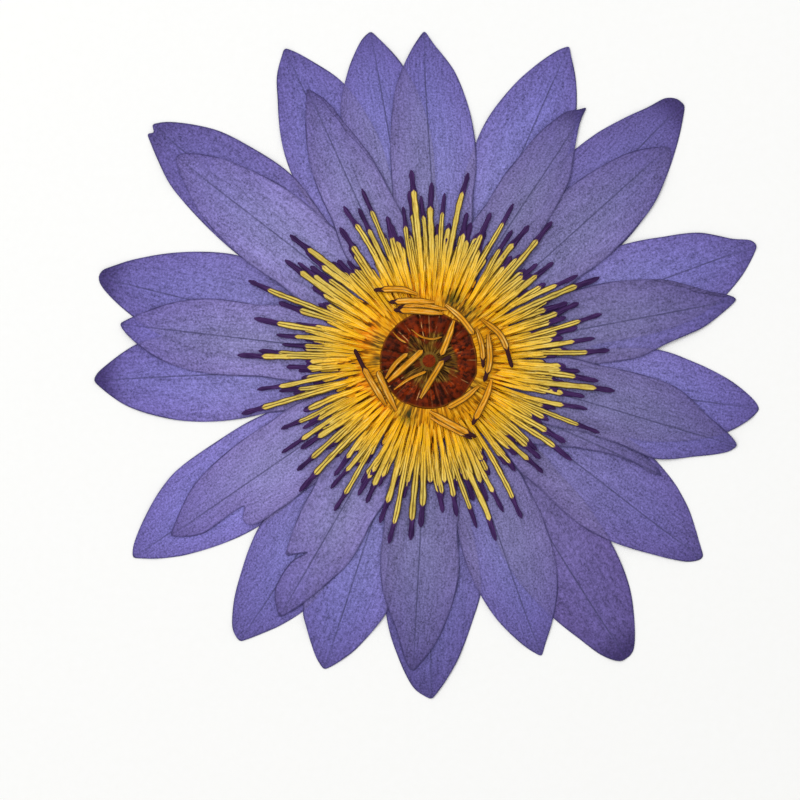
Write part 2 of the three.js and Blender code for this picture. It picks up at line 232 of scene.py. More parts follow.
# Margins that were folded over when the flower was pressed: which side, from which radius to
# which, and how wide at the middle.
petalFolds = {
    "inner_petal_01": ("counter", 52, 68, 0.85),
    "inner_petal_05": ("clockwise", 45, 64.5, 0.8),
}


def petalMargin(node):
    loop = flatOutline(node)
    radius = np.hypot(*loop.T)
    count = len(loop)
    pairSum = radius + np.roll(radius, -1)
    first = int(np.argmin(pairSum))                 # the claw's cut end
    loop = np.roll(loop, -(first + 1), 0)
    claw = [loop[0] * petals["clawReach"] / np.hypot(*loop[0]),
            loop[-1] * petals["clawReach"] / np.hypot(*loop[-1])]
    before = loop[1:-1] - loop[:-2]
    after = loop[2:] - loop[1:-1]
    turn = np.degrees(np.arctan2(before[:, 0] * after[:, 1] - before[:, 1] * after[:, 0],
                                 (before * after).sum(1)))
    corners = [0, *(np.nonzero(np.abs(turn) > petals["cornerDegrees"])[0] + 1), count - 1]
    line = [loop[:1]]
    for start, end in zip(corners, corners[1:]):
        line.append(smoothStretch(loop[start:end + 1], petals["marginStep"])[1:])
    line = np.vstack(line)
    for _ in range(2):                              # takes the hard point off tips and tears
        line[1:-1] = 0.5 * line[1:-1] + 0.25 * (line[:-2] + line[2:])
    # The bases are crowded, and reach under their neighbours
    middle = math.degrees(math.atan2(*(line[0] + line[-1])[::-1]))
    reach = np.hypot(*line.T)
    turn = (np.degrees(np.arctan2(line[:, 1], line[:, 0])) - middle + 180) % 360 - 180
    turn = turn * (1 + petals["baseSpread"] * smooth(39, 29, reach) * smooth(11, 20, reach))
    return np.vstack([[claw[0]], polar(reach, middle + turn), [claw[1]]])


class Petal:
    def __init__(self, node, number):
        self.node = node
        self.number = number
        self.margin = petalMargin(node)
        self.low, self.high = self.margin.min(0), self.margin.max(0)
        radius = np.hypot(*self.margin.T)
        self.tip = int(np.argmax(radius))
        self.reach = radius[self.tip]
        middle = self.margin[[0, -1]].mean(0)
        self.turn = math.degrees(math.atan2(middle[1], middle[0]))
        azimuth = self.azimuthOf(self.margin)
        self.radii = np.linspace(petals["clawReach"], self.reach, 60)
        sides = []
        for piece in (slice(0, self.tip + 1), slice(None, self.tip - 1, -1)):
            rising = np.maximum.accumulate(radius[piece] + np.arange(len(radius[piece])) * 1e-6)
            sides.append(np.interp(self.radii, rising, azimuth[piece]))
        self.ribAzimuth = azimuth[self.tip] * smooth(0.25, 0.9, self.radii / self.reach)
        window = np.ones(13) / 13                   # so that a tear doesn't kink the veins
        halfWidth = np.pad((sides[1] - sides[0]) / 2, 6, "edge")
        self.halfWidth = np.maximum(np.convolve(halfWidth, window, "valid"), 0.5)

    def azimuthOf(self, points):
        # Measured from the petal's own direction, so that it never wraps round.
        azimuth = np.degrees(np.arctan2(points[:, 1], points[:, 0])) - self.turn
        return (azimuth + 180) % 360 - 180

    def coordinates(self, points):
        radius = np.hypot(*points.T)
        offset = self.azimuthOf(points) - np.interp(radius, self.radii, self.ribAzimuth)
        across = radius * np.radians(offset)
        side = offset / np.interp(radius, self.radii, self.halfWidth)
        return radius, across, np.clip(side, -1.2, 1.2)

    def waves(self, points, edge):
        along, across, side = self.coordinates(points)
        phase = self.number * 1.7
        soft = 0.5 + 0.5 * np.sin(along * 0.21 + phase) * np.sin(across * 0.33 + phase * 2)
        ripple = 0.5 + 0.5 * np.sin(across * 1.9 + np.sin(along * 0.12 + phase) * 2)
        lift = smooth(2.2, 0, edge) * smooth(0.2, 0.9, np.sin(along * 0.17 + side * 2 + phase))
        outer = smooth(14, 30, along)
        return (petals["wrinkle"] * (0.7 * soft + 0.3 * ripple) + petals["curl"] * lift) * outer

    def edgeDistance(self, points):
        return segmentDistance(points, self.margin, np.roll(self.margin, -1, 0))


def innerPoints(petal):
    step = petals["gridStep"]
    xs = np.arange(petal.low[0], petal.high[0], step)
    ys = np.arange(petal.low[1], petal.high[1], step * 0.87)
    x, y = np.meshgrid(xs, ys)
    x[::2] += step / 2
    points = np.stack([x.ravel(), y.ravel()], -1)
    points = points[insideOutline(points, petal.margin)]
    return points[petal.edgeDistance(points) > 0.4]


def overlapping(petal, below):
    return [other for other in below
            if (other.low < petal.high).all() and (petal.low < other.high).all()]


def petalTriangles(petal, below):
    # The petals underneath leave their margins in the mesh, so that they can show through as
    # painted lines of shade.
    points = [petal.margin, innerPoints(petal)]
    edges = [(i, (i + 1) % len(petal.margin)) for i in range(len(petal.margin))]
    count = sum(len(p) for p in points)
    for other in below:
        within = insideOutline(other.margin, petal.margin)
        wanted = within | np.roll(within, -1)
        following = np.roll(np.arange(len(wanted)), -1)
        edges += [(count + i, count + following[i]) for i in np.nonzero(wanted)[0]]
        points.append(other.margin)
        count += len(other.margin)
    used = np.zeros(count, bool)
    used[:len(petal.margin) + len(points[1])] = True
    used[np.array(edges).ravel()] = True
    index = np.cumsum(used) - 1
    points = np.vstack(points)[used]
    edges = [(int(index[a]), int(index[b])) for a, b in edges]
    found = delaunay_2d_cdt([tuple(p) for p in points], edges, [], 0, 1e-4)
    flat = np.array([tuple(v) for v in found[0]])
    triangles = np.array([face for face in found[2] if len(face) == 3])
    a, b, c = (flat[triangles[:, i]] for i in range(3))
    area = (b - a)[:, 0] * (c - a)[:, 1] - (b - a)[:, 1] * (c - a)[:, 0]
    keep = insideOutline((a + b + c) / 3, petal.margin) & (np.abs(area) > 1e-5)
    triangles = np.where((area < 0)[:, None], triangles[:, ::-1], triangles)[keep]
    used = np.unique(triangles)
    index = np.zeros(len(flat), int)
    index[used] = np.arange(len(used))
    return flat[used], index[triangles]


def closeSheet(flat, triangles, low, high):
    # Doubles the sheet into a thin closed solid: its top, its back and the edge between.
    count = len(flat)
    top = np.column_stack([flat, high])
    back = np.column_stack([flat, low])
    edges = {(int(a), int(b)) for t in triangles for a, b in zip(t, np.roll(t, -1))}
    rim = [(a, b) for a, b in edges if (b, a) not in edges]
    faces = [tuple(int(i) for i in t) for t in triangles]
    faces += [tuple(int(i) + count for i in t[::-1]) for t in triangles]
    faces += [(b, a, a + count, b + count) for a, b in sorted(rim)]
    return np.vstack([top, back]), faces, len(rim)


def petalValues(petal, flat, edge):
    # What the material needs to know at each point of a petal.
    radius, across, side = petal.coordinates(flat)
    toTip = petal.reach - radius
    light, darkTip, warm = petalTones[petal.node]
    count = len(flat)
    return {
        "radius": radius, "across": across, "edge": edge,
        "number": np.full(count, petal.number * 7.3),
        "veins": side * petals["sideVeins"],
        "light": light * (1 - 0.08 * smooth(2.4, 0, edge)),
        "warm": np.full(count, warm * 0.45),
        "pale": 0.22 * smooth(62, 34, radius),
        "tipward": 0.5 * smooth(26, 0, toTip),
        "darkEnd": 0.9 * darkTip * smooth(7.5, 0.8, toTip),
        "ribShow": 0.32 + 0.46 * smooth(1, 12, toTip),
    }


def layPetal(petal, below, material):
    global heights
    below = overlapping(petal, below)
    flat, triangles = petalTriangles(petal, below)
    rest = restingField(heights, sheets["bend"])
    edge = petal.edgeDistance(flat)
    low = sampleField(rest, flat) + sheets["clearance"] + petal.waves(flat, edge)
    high = low + sheets["petalThickness"]
    box = ((gridPoints > petal.low) & (gridPoints < petal.high)).all(1)
    box[box] = insideOutline(gridPoints[box], petal.margin)
    covered = gridPoints[box]
    laid = rest.ravel()[box] + sheets["clearance"] + sheets["petalThickness"]
    laid += petal.waves(covered, petal.edgeDistance(covered))
    level = heights.ravel()
    level[box] = laid
    heights = level.reshape(cells, cells)

    centres = flat[triangles].mean(1)
    # The number of petals under each face, which the material paints as show-through shade
    beneath = np.zeros(len(triangles))
    seam = np.full(len(flat), 3.0)
    for other in below:
        beneath += insideOutline(centres, other.margin)
        seam = np.minimum(seam, other.edgeDistance(flat))
    vertices, faces, rimCount = closeSheet(flat, triangles, low, high)
    values = petalValues(petal, flat, edge)
    values["seam"] = seam
    values = {key: np.tile(value, 2) for key, value in values.items()}
    perFace = {"beneath": np.concatenate([beneath, beneath, np.zeros(rimCount)])}
    name = petal.node.replace("_petal", "Petal").replace("_", "")
    makePiece(name, vertices, faces, values, perFace, material, [petal.node])


def layFold(petal, material):
    # A narrow strip of the margin, turned over onto the petal's face.
    whichSide, fromRadius, toRadius, width = petalFolds[petal.node]
    radius = np.hypot(*petal.margin.T)
    index = np.arange(len(radius))
    onSide = index < petal.tip if whichSide == "clockwise" else index > petal.tip
    outer = petal.margin[onSide & (radius > fromRadius) & (radius < toRadius)]
    share = np.linspace(0, 1, len(outer))
    run = np.gradient(outer, axis=0)
    run /= np.linalg.norm(run, axis=1)[:, None]
    inward = np.stack([-run[:, 1], run[:, 0]], -1)
    wavy = width * np.sin(np.pi * share) ** 0.35 * (1 + 0.2 * np.sin(share * 19))
    lines = [outer + inward * (wavy * step)[:, None] for step in (-0.06, 0.5, 1)]
    flat = np.vstack(lines)
    count = len(outer)
    triangles = []
    for row in (0, 1):
        for i in range(count - 1):
            a, b = row * count + i, row * count + i + 1
            triangles += [(a, b, b + count), (a, b + count, a + count)]
    crown = np.concatenate([np.full(count, 0.02), np.full(count, 0.16), np.full(count, 0.03)])
    low = sampleField(heights, flat) + crown
    vertices, faces, rimCount = closeSheet(flat, np.array(triangles), low,
                                           low + sheets["petalThickness"])
    values = petalValues(petal, flat, np.repeat([0.12, 0.8, 0.12], count))
    values["seam"] = np.full(len(flat), 3.0)
    values["light"] = values["light"] * 0.86
    values = {key: np.tile(value, 2) for key, value in values.items()}
    # The fold is painted with the deepest show-through shade
    perFace = {"beneath": np.full(len(faces), 3.0)}
    makePiece("foldedMargin" + petal.node[-2:], vertices, faces, values, perFace, material,
              [])


# Dried tepal tissue: thin, matt and fibrous, so it reads as a violet paper whose fibres run
# to the tip. Where it lies double it is painted greyer, a painted shade for the layers beneath
# showing through; their margins show through as painted dark lines, and its own margin has a
# fine dark line that is partly real and partly painted contact shade. The real fibres are too
# fine to show and are drawn about twice as coarse.
petalFinish = {
    # double and deep are painted show-through shade: the violet greyed where petals lie beneath
    "single": "#7773b8", "double": "#7772a9", "deep": "#6c6895", "mauve": "#7f63a6",
    "pale": "#8f8cad", "tipShade": "#544a88", "tip": "#41356b", "line": "#37325c",
    "rib": "#3c3b5c", "marginTint": "#7a5eae", "marginTintMm": 6.5,
    "roughness": 0.82, "specular": 0.12,
    "fibresPerMm": 1.9, "fibreLengthMm": 3.0, "gritPerMm": 2.3, "patchMm": 9.0, "bump": 0.3,
}


def petalMaterial():
    finish = petalFinish
    material, tree, shader = newMaterial("driedTepal", finish["roughness"],
                                         finish["specular"])
    names = ("radius", "across", "number", "edge", "seam", "veins", "light", "warm", "pale",
             "tipward", "darkEnd", "ribShow", "beneath")
    value = {name: addNode(tree, "ShaderNodeAttribute", attribute_name=name).outputs["Fac"]
             for name in names}
    place = addNode(tree, "ShaderNodeCombineXYZ", {
        "X": value["radius"], "Y": value["across"], "Z": value["number"]})
    noises = []
    for along, across, roughness in (
            (1 / finish["fibreLengthMm"], finish["fibresPerMm"], 0.6),
            (finish["gritPerMm"], finish["gritPerMm"], 0.75),
            (1 / finish["patchMm"], 2 / finish["patchMm"], 0.6)):
        stretched = addNode(tree, "ShaderNodeVectorMath", {0: place, 1: (along, across, 1)},
                            operation="MULTIPLY")
        noises.append(addNode(tree, "ShaderNodeTexNoise", {
            "Vector": stretched, "Scale": 1.0, "Detail": 3.0, "Roughness": roughness}))
    fibre, grit, patch = noises

    # Painted show-through shade: each petal layer lying beneath greys and darkens the violet a
    # little more
    oneUnderShade = addNode(tree, "ShaderNodeMapRange", {"Value": value["beneath"], 1: 0.0, 2: 1.0})
    moreUnderShade = addNode(tree, "ShaderNodeMapRange", {"Value": value["beneath"], 1: 1.0, 2: 4.0})
    tinted = addNode(tree, "ShaderNodeMapRange", {
        "Value": value["edge"], 1: finish["marginTintMm"], 2: 0.0, 3: 0.0, 4: 0.22})
    uneven = addNode(tree, "ShaderNodeMapRange", {
        "Value": patch, 1: 0.3, 2: 0.7, 3: 0.5, 4: 1.3})
    tipMix = addNode(tree, "ShaderNodeMath", {0: value["tipward"], 1: uneven},
                     operation="MULTIPLY")
    frayed = addNode(tree, "ShaderNodeMapRange", {
        "Value": fibre, 1: 0.3, 2: 0.6, 3: 0.7, 4: 1.0})
    darkMix = addNode(tree, "ShaderNodeMath", {0: value["darkEnd"], 1: frayed},
                      operation="MULTIPLY", use_clamp=True)
    colour = toLinear(finish["single"])
    for share, shade in ((oneUnderShade, "double"), (moreUnderShade, "deep"), (value["warm"], "mauve"),
                         (value["pale"], "pale"), (tinted, "marginTint"),
                         (tipMix, "tipShade"), (darkMix, "tip")):
        colour = addNode(tree, "ShaderNodeMix", {
            0: share, 6: colour, 7: toLinear(finish[shade])}, data_type="RGBA")

    # Fibres, grit and broad cloudiness, about an even shade of 1
    shade = -1.1
    for noise, strength in ((fibre, 0.9), (grit, 2.7), (patch, 0.6)):
        shade = addNode(tree, "ShaderNodeMath", {0: noise, 1: strength, 2: shade},
                        operation="MULTIPLY_ADD")
    shade = addNode(tree, "ShaderNodeMath", {0: shade, 1: value["light"]},
                    operation="MULTIPLY")
    wander = addNode(tree, "ShaderNodeMath", {0: patch, 1: 1.2, 2: value["veins"]},
                     operation="MULTIPLY_ADD")
    vein = addNode(tree, "ShaderNodeMath", {0: wander, 1: 0.5}, operation="PINGPONG")
    veinShade = addNode(tree, "ShaderNodeMapRange", {
        "Value": vein, 1: 0.0, 2: 0.09, 3: 0.93, 4: 1.0}, interpolation_type="SMOOTHSTEP")
    shade = addNode(tree, "ShaderNodeMath", {0: shade, 1: veinShade}, operation="MULTIPLY")
    colour = addNode(tree, "ShaderNodeVectorMath", {0: colour, "Scale": shade},
                     operation="SCALE")

    # Lines: the margins of what lies beneath, painted as show-through shade; the midrib; and the
    # petal's own margin, partly painted contact shade
    seamShadeMix = addNode(tree, "ShaderNodeMapRange", {
        "Value": value["seam"], 1: 0.45, 2: 0.08, 3: 0.0, 4: 0.13},
        interpolation_type="SMOOTHSTEP")
    fromRib = addNode(tree, "ShaderNodeMath", {0: value["across"]}, operation="ABSOLUTE")
    ribMix = addNode(tree, "ShaderNodeMapRange", {"Value": fromRib, 1: 0.25, 2: 0.08},
                     interpolation_type="SMOOTHSTEP")
    broken = addNode(tree, "ShaderNodeMapRange", {
        "Value": fibre, 1: 0.3, 2: 0.6, 3: 0.45, 4: 1.0})
    for part in (value["ribShow"], broken):
        ribMix = addNode(tree, "ShaderNodeMath", {0: ribMix, 1: part}, operation="MULTIPLY")
    # The petal's own dark margin line: partly its real dried margin, partly painted contact shade
    marginLineAndShadeMix = addNode(tree, "ShaderNodeMapRange", {
        "Value": value["edge"], 1: 0.42, 2: 0.08, 3: 0.0, 4: 0.9},
        interpolation_type="SMOOTHSTEP")
    comeAndGo = addNode(tree, "ShaderNodeMapRange", {
        "Value": patch, 1: 0.38, 2: 0.6, 3: 0.3, 4: 1.0})
    marginLineAndShadeMix = addNode(tree, "ShaderNodeMath", {0: marginLineAndShadeMix, 1: comeAndGo},
                        operation="MULTIPLY")
    for share, shade in ((seamShadeMix, "line"), (ribMix, "rib"), (marginLineAndShadeMix, "line")):
        colour = addNode(tree, "ShaderNodeMix", {
            0: share, 6: colour, 7: toLinear(finish[shade])}, data_type="RGBA")
    tree.links.new(colour.outputs[2], shader.inputs["Base Color"])
    relief = addNode(tree, "ShaderNodeMath", {0: veinShade, 1: 5.0, 2: fibre},
                     operation="MULTIPLY_ADD")
    bump = addNode(tree, "ShaderNodeBump", {
        "Height": relief, "Strength": finish["bump"], "Distance": 0.0001})
    tree.links.new(bump.outputs[0], shader.inputs["Normal"])
    return material


def layPetals():
    material = petalMaterial()
    nodes = [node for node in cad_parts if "_petal" in node]
    nodes.sort(key=lambda node: (round(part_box(node)[0].z / mm, 2), node))
    laid = []
    for number, node in enumerate(nodes):
        petal = Petal(node, number)
        layPetal(petal, laid, material)
        if node in petalFolds:
            layFold(petal, material)
        laid.append(petal)
    print("petals laid:", len(laid), "highest", round(float(heights.max()), 2), "mm")


layPetals()


stamens = {
    "rootRadius": 11.4,
    "widest": 1.42, "tipWidth": 1.12,
    "thickness": 0.34, "tipThickness": 0.28,
    "steps": 26,
    "bendAtTip": 0.7,      # sideways, over the last 8 mm
    "sway": 0.6,           # sideways, at the middle
    "lean": 0.6,           # share of the way back to an evenly spaced root
}

# rise: height of the roots over the petals; tipLength: the dark end; then, for the stamens
# that only fill the crowd, how many to a fan, their shortest and longest reach, and theirs.
stamenRings = {
    "lower": {"rise": 0.5, "tipLength": 4.7, "extra": 4, "reach": (27, 31), "extraTip": 2.6},
    "middle": {"rise": 1.2, "tipLength": 4.7, "extra": 10, "reach": (26, 31), "extraTip": 1.1},
    "upper": {"rise": 2.0, "tipLength": 2.7, "extra": 13, "reach": (21, 28), "extraTip": 0.2},
}
fanDegrees = 60

# Where the roots are stained: azimuth, radius, and how far round and along each stain runs
stains = [(68, 14.2, 13, 2.8), (51, 13.6, 12, 3.0), (247, 12.6, 15, 2.6),
          (160, 12.0, 11, 2.2), (180, 11.6, 8, 1.8), (332, 11.8, 11, 2.0)]
glows = [(158, 14.6, 17, 2.6), (200, 15.6, 20, 2.4), (347, 16.8, 12, 2.2),
         (222, 14.6, 12, 2.0), (100, 16.0, 10, 1.8)]


def stainAmount(places, azimuth, radius):
    amount = np.zeros(np.broadcast(azimuth, radius).shape)
    for middle, reach, degrees, length in places:
        turn = (azimuth - middle + 180) % 360 - 180
        away = np.hypot(turn / degrees, (radius - reach) / length)
        amount = np.maximum(amount, smooth(1.2, 0.2, away))
    return amount


def fanEnds(node):
    # Each finger of a fan as (reach, azimuth at its tip, azimuth at its root).
    loop = flatOutline(node)
    radius = np.hypot(*loop.T)
    far = radius > 22.5               # beyond the filaments' roots
    ends = []
    for i in range(len(loop)):
        if far[i] and far[i - 1]:
            tip = (loop[i] + loop[i - 1]) / 2
            root = (loop[i - 2] + loop[(i + 1) % len(loop)]) / 2
            azimuths = [math.degrees(math.atan2(p[1], p[0])) % 360 for p in (tip, root)]
            ends.append((float(np.hypot(*tip)), *azimuths))
    return ends


def crossSection(share):
    # share 0 is a pollen-bearing part with two ridges and a groove; 1 is the smooth dark tip.
    side = np.array([-1, -0.86, -0.5, -0.16, 0, 0.16, 0.5, 0.86, 1])
    ridged = np.array([0.25, 0.72, 1.0, 0.78, 0.55, 0.78, 1.0, 0.72, 0.25])
    blade = np.array([0.2, 0.6, 0.92, 1.0, 1.0, 1.0, 0.92, 0.6, 0.2])
    return side, ridged * (1 - share) + blade * share


strapPoints = 18   # round a strap at each step: nine over its top and nine under it


def ribbonMesh(centre, width, low, thickness, share):
    # One strap, closed at both ends.
    run = np.gradient(centre, axis=0)
    run /= np.linalg.norm(run, axis=1)[:, None]
    across = np.stack([-run[:, 1], run[:, 0]], -1)
    vertices, sideways = [], []
    for i in range(len(centre)):
        side, profile = crossSection(share[i])
        flat = centre[i] + across[i] * (side * width[i] / 2)[:, None]
        vertices.append(np.column_stack([flat, low[i] + thickness[i] * profile]))
        vertices.append(np.column_stack([flat, np.full(len(side), low[i])])[::-1])
        sideways += [side, side[::-1]]
    faces = []
    last = (len(centre) - 1) * strapPoints
    for start in range(0, last, strapPoints):
        for j in range(strapPoints):
            a, b = start + j, start + (j + 1) % strapPoints
            faces.append((a, a + strapPoints, b + strapPoints, b))
    faces.append(tuple(range(strapPoints)))
    faces.append(tuple(range(last, last + strapPoints))[::-1])
    return np.vstack(vertices), faces, np.concatenate(sideways)


def joinParts(parts):
    vertices, faces, values = [], [], {}
    offset = 0
    for part, partFaces, partValues in parts:
        vertices.append(part)
        faces += [tuple(i + offset for i in face) for face in partFaces]
        offset += len(part)
        for key, value in partValues.items():
            values.setdefault(key, []).append(value)
    return np.vstack(vertices), faces, {key: np.concatenate(v) for key, v in values.items()}


def stamenPart(end, ring, tipLength, ground, rng):
    reach, tipAzimuth, rootAzimuth = end
    t = np.linspace(0, 1, stamens["steps"]) ** 0.85
    radius = stamens["rootRadius"] + (reach - stamens["rootRadius"]) * t
    lean = ((rootAzimuth - tipAzimuth + 180) % 360 - 180) * stamens["lean"]
    azimuth = tipAzimuth + lean * (1 - smooth(0, 1, t))
    bend = rng.uniform(-1, 1) * stamens["bendAtTip"] * smooth(reach - 8, reach, radius)
    sway = rng.uniform(-1, 1) * stamens["sway"] * np.sin(np.pi * t) * (1 - t)
    azimuth = azimuth + np.degrees((bend + sway) / radius)
    centre = polar(radius, azimuth)
    toTip = reach - radius
    tipLength = tipLength * rng.uniform(0.85, 1.12) * min(1, reach / 36)
    share = smooth(tipLength + 0.5, tipLength - 0.4, toTip)
    width = stamens["widest"] * (1 - share) + stamens["tipWidth"] * share
    width = width * (0.4 + 0.6 * smooth(13, 27, radius)) * rng.uniform(0.78, 1.1)
    width = width * (1 + 0.11 * np.sin(radius * rng.uniform(0.9, 2.0) + rng.uniform(0, 6)))
    width = width * np.sqrt(np.clip(toTip / 0.5 + 0.1, 0, 1))
    thickness = stamens["thickness"] * (1 - share) + stamens["tipThickness"] * share
    thickness = thickness * np.sqrt(np.clip(toTip / 0.5 + 0.1, 0, 1))
    settle = smooth(reach - 2, 17, radius)
    low = sampleField(ground, centre) + 0.05 + stamenRings[ring]["rise"] * settle
    low = low + rng.uniform(0, 0.3) * smooth(0, 0.3, t)
    vertices, faces, side = ribbonMesh(centre, width, low, thickness, share)
    count = len(side)
    values = {
        "side": side, "toTip": np.repeat(toTip, strapPoints),
        "radius": np.repeat(radius, strapPoints), "tipLength": np.full(count, tipLength),
        "number": np.full(count, rng.uniform(0, 90)),
        "groove": np.full(count, rng.choice([0.15, 0.85])),
        "tone": np.full(count, rng.uniform(-1, 1)), "curled": np.zeros(count),
        "lineShow": np.repeat(0.3 + 0.7 * smooth(17, 27, radius), strapPoints),
        "stain": np.repeat(stainAmount(stains, azimuth, radius) * rng.uniform(0.4, 1),
                           strapPoints),
    }
    return vertices, faces, values


# Dried anthers and filaments: the pollen-bearing part is straw yellow with two dark seams and
# painted pale highlights along its streaks, the tip has dried to near-black violet, and the
# crowded roots are stained golden orange.
stamenFinish = {
    "straw": "#dac058", "gold": "#ffc414", "amber": "#c98418", "seam": "#3a2410",
    # pale is a painted highlight along the raised streaks
    "pale": "#f6e290", "tip": "#2b1641", "tipLight": "#52326a", "strap": "#e0921a",
    "strapTip": "#3a1a0a", "stain": "#55521f",
    "roughness": 0.62, "specular": 0.08,
    "streaksAcross": 4.0, "streakLengthMm": 3.0, "bump": 0.35,
}


def stamenMaterial():
    finish = stamenFinish
    material, tree, shader = newMaterial("driedAnther", finish["roughness"],
                                         finish["specular"])
    names = ("radius", "side", "toTip", "tipLength", "number", "groove", "tone", "curled",
             "lineShow", "stain")
    value = {name: addNode(tree, "ShaderNodeAttribute", attribute_name=name).outputs["Fac"]
             for name in names}
    place = addNode(tree, "ShaderNodeCombineXYZ", {
        "X": value["toTip"], "Y": value["side"], "Z": value["number"]})
    stretched = addNode(tree, "ShaderNodeVectorMath", {
        0: place, 1: (1 / finish["streakLengthMm"], finish["streaksAcross"], 1)},
        operation="MULTIPLY")
    streak = addNode(tree, "ShaderNodeTexNoise", {
        "Vector": stretched, "Scale": 1.0, "Detail": 3.0, "Roughness": 0.65})
    shrunk = addNode(tree, "ShaderNodeVectorMath", {0: place, 1: (2.2, 1.6, 1)},
                     operation="MULTIPLY")
    speck = addNode(tree, "ShaderNodeTexNoise", {
        "Vector": shrunk, "Scale": 1.0, "Detail": 2.0})
    golden = addNode(tree, "ShaderNodeMapRange", {"Value": value["radius"], 1: 30.0, 2: 17.0},
                     interpolation_type="SMOOTHSTEP")
    stained = addNode(tree, "ShaderNodeMapRange", {
        "Value": speck, 1: 0.48, 2: 0.78, 3: 0.0, 4: 0.5})
    # Painted highlight: pale where the streaks stand up
    paintedHighlight = addNode(tree, "ShaderNodeMapRange", {
        "Value": streak, 1: 0.54, 2: 0.68, 3: 0.0, 4: 0.75})

    # Dark lines: the seams along both sides, the groove in some, and creases
    fromMiddle = addNode(tree, "ShaderNodeMath", {0: value["side"]}, operation="ABSOLUTE")
    line = addNode(tree, "ShaderNodeMapRange", {
        "Value": fromMiddle, 1: 0.5, 2: 0.86, 3: 0.0, 4: 0.95},
        interpolation_type="SMOOTHSTEP")
    groove = addNode(tree, "ShaderNodeMapRange", {"Value": fromMiddle, 1: 0.26, 2: 0.04},
                     interpolation_type="SMOOTHSTEP")
    groove = addNode(tree, "ShaderNodeMath", {0: groove, 1: value["groove"]},
                     operation="MULTIPLY")
    crease = addNode(tree, "ShaderNodeMapRange", {
        "Value": streak, 1: 0.44, 2: 0.34, 3: 0.0, 4: 0.8})
    for mark in (groove, crease):
        line = addNode(tree, "ShaderNodeMath", {0: line, 1: mark}, operation="MAXIMUM")
    line = addNode(tree, "ShaderNodeMath", {0: line, 1: value["lineShow"]},
                   operation="MULTIPLY")
    colour = toLinear(finish["straw"])
    for share, shade in ((golden, "gold"), (value["curled"], "strap"), (stained, "amber"),
                         (paintedHighlight, "pale"), (value["stain"], "stain"), (line, "seam")):
        colour = addNode(tree, "ShaderNodeMix", {
            0: share, 6: colour, 7: toLinear(finish[shade])}, data_type="RGBA")

    # The dark tip, with an uneven end
    tipStreak = addNode(tree, "ShaderNodeMapRange", {"Value": streak, 1: 0.42, 2: 0.7})
    tipColour = toLinear(finish["tip"])
    for share, shade in ((tipStreak, "tipLight"), (value["curled"], "strapTip")):
        tipColour = addNode(tree, "ShaderNodeMix", {
            0: share, 6: tipColour, 7: toLinear(finish[shade])}, data_type="RGBA")
    beyond = addNode(tree, "ShaderNodeMath", {0: value["tipLength"], 1: value["toTip"]},
                     operation="SUBTRACT")
    for ragged, reach in ((streak, 0.7), (fromMiddle, 0.8)):
        beyond = addNode(tree, "ShaderNodeMath", {0: ragged, 1: reach, 2: beyond},
                         operation="MULTIPLY_ADD")
    isTip = addNode(tree, "ShaderNodeMapRange", {"Value": beyond, 1: 0.05, 2: 0.4},
                    interpolation_type="SMOOTHSTEP")
    colour = addNode(tree, "ShaderNodeMix", {0: isTip, 6: colour, 7: tipColour},
                     data_type="RGBA")
    shade = addNode(tree, "ShaderNodeMath", {0: value["tone"], 1: 0.14, 2: 1.08},
                    operation="MULTIPLY_ADD")
    colour = addNode(tree, "ShaderNodeVectorMath", {0: colour, "Scale": shade},
                     operation="SCALE")
    tree.links.new(colour.outputs[0], shader.inputs["Base Color"])
    bump = addNode(tree, "ShaderNodeBump", {
        "Height": streak, "Strength": finish["bump"], "Distance": 0.0001})
    tree.links.new(bump.outputs[0], shader.inputs["Normal"])
    return material


def layStamens(material):
    ground = restingField(heights, 4)
    total = 0
    for node in sorted(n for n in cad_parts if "_stamens_" in n):
        ring = node.split("_")[0]
        size = stamenRings[ring]
        fan = int(node[-1]) - 1
        rng = np.random.default_rng([3, *node.encode()])
        parts = [stamenPart(end, ring, size["tipLength"], ground, rng) for end in fanEnds(node)]
        for i in range(size["extra"]):
            azimuth = (fan + (i + rng.uniform(0.2, 0.8)) / size["extra"]) * fanDegrees
            end = (rng.uniform(*size["reach"]), azimuth, azimuth + rng.uniform(-2, 2))
            parts.append(stamenPart(end, ring, size["extraTip"], ground, rng))
        total += len(parts)
        vertices, faces, values = joinParts(parts)
        name = ring + "Stamens" + node[-1]
        makePiece(name, vertices, faces, values, {}, material, [node])
    print("stamens laid:", total)


def curledCentre(node):
    # The middle line of a curled strap's outline, from its wide root to its narrow tip. The
    # outline is cut in two where the halves then lie closest to each other.
    loop = flatOutline(node)
    half = len(loop) // 2
    rolled = [np.roll(loop, -i, 0) for i in range(half)]
    loop = min(rolled, key=lambda r: np.linalg.norm(r[:half] - r[half:][::-1], axis=1).max())
    first, second = loop[:half], loop[half:][::-1]
    centre = (first + second) / 2
    width = np.linalg.norm(first - second, axis=1)
    if width[0] < width[-1]:
        centre = centre[::-1]
    return centre


curled = {
    "width": 1.5, "tipWidth": 0.95, "thickness": 0.42, "tipLength": 1.9, "step": 0.4,
    "level": 4.6,          # they lie on the disc
    "settle": 0.45,        # and a little lower on the root ring
}

# How much of a dark tip each strap has, where it isn't 1
curledTips = {"04": 0, "05": 1.3, "06": 2.2, "07": 0, "10": 2.4, "11": 0, "12": 1.4, "13": 0}

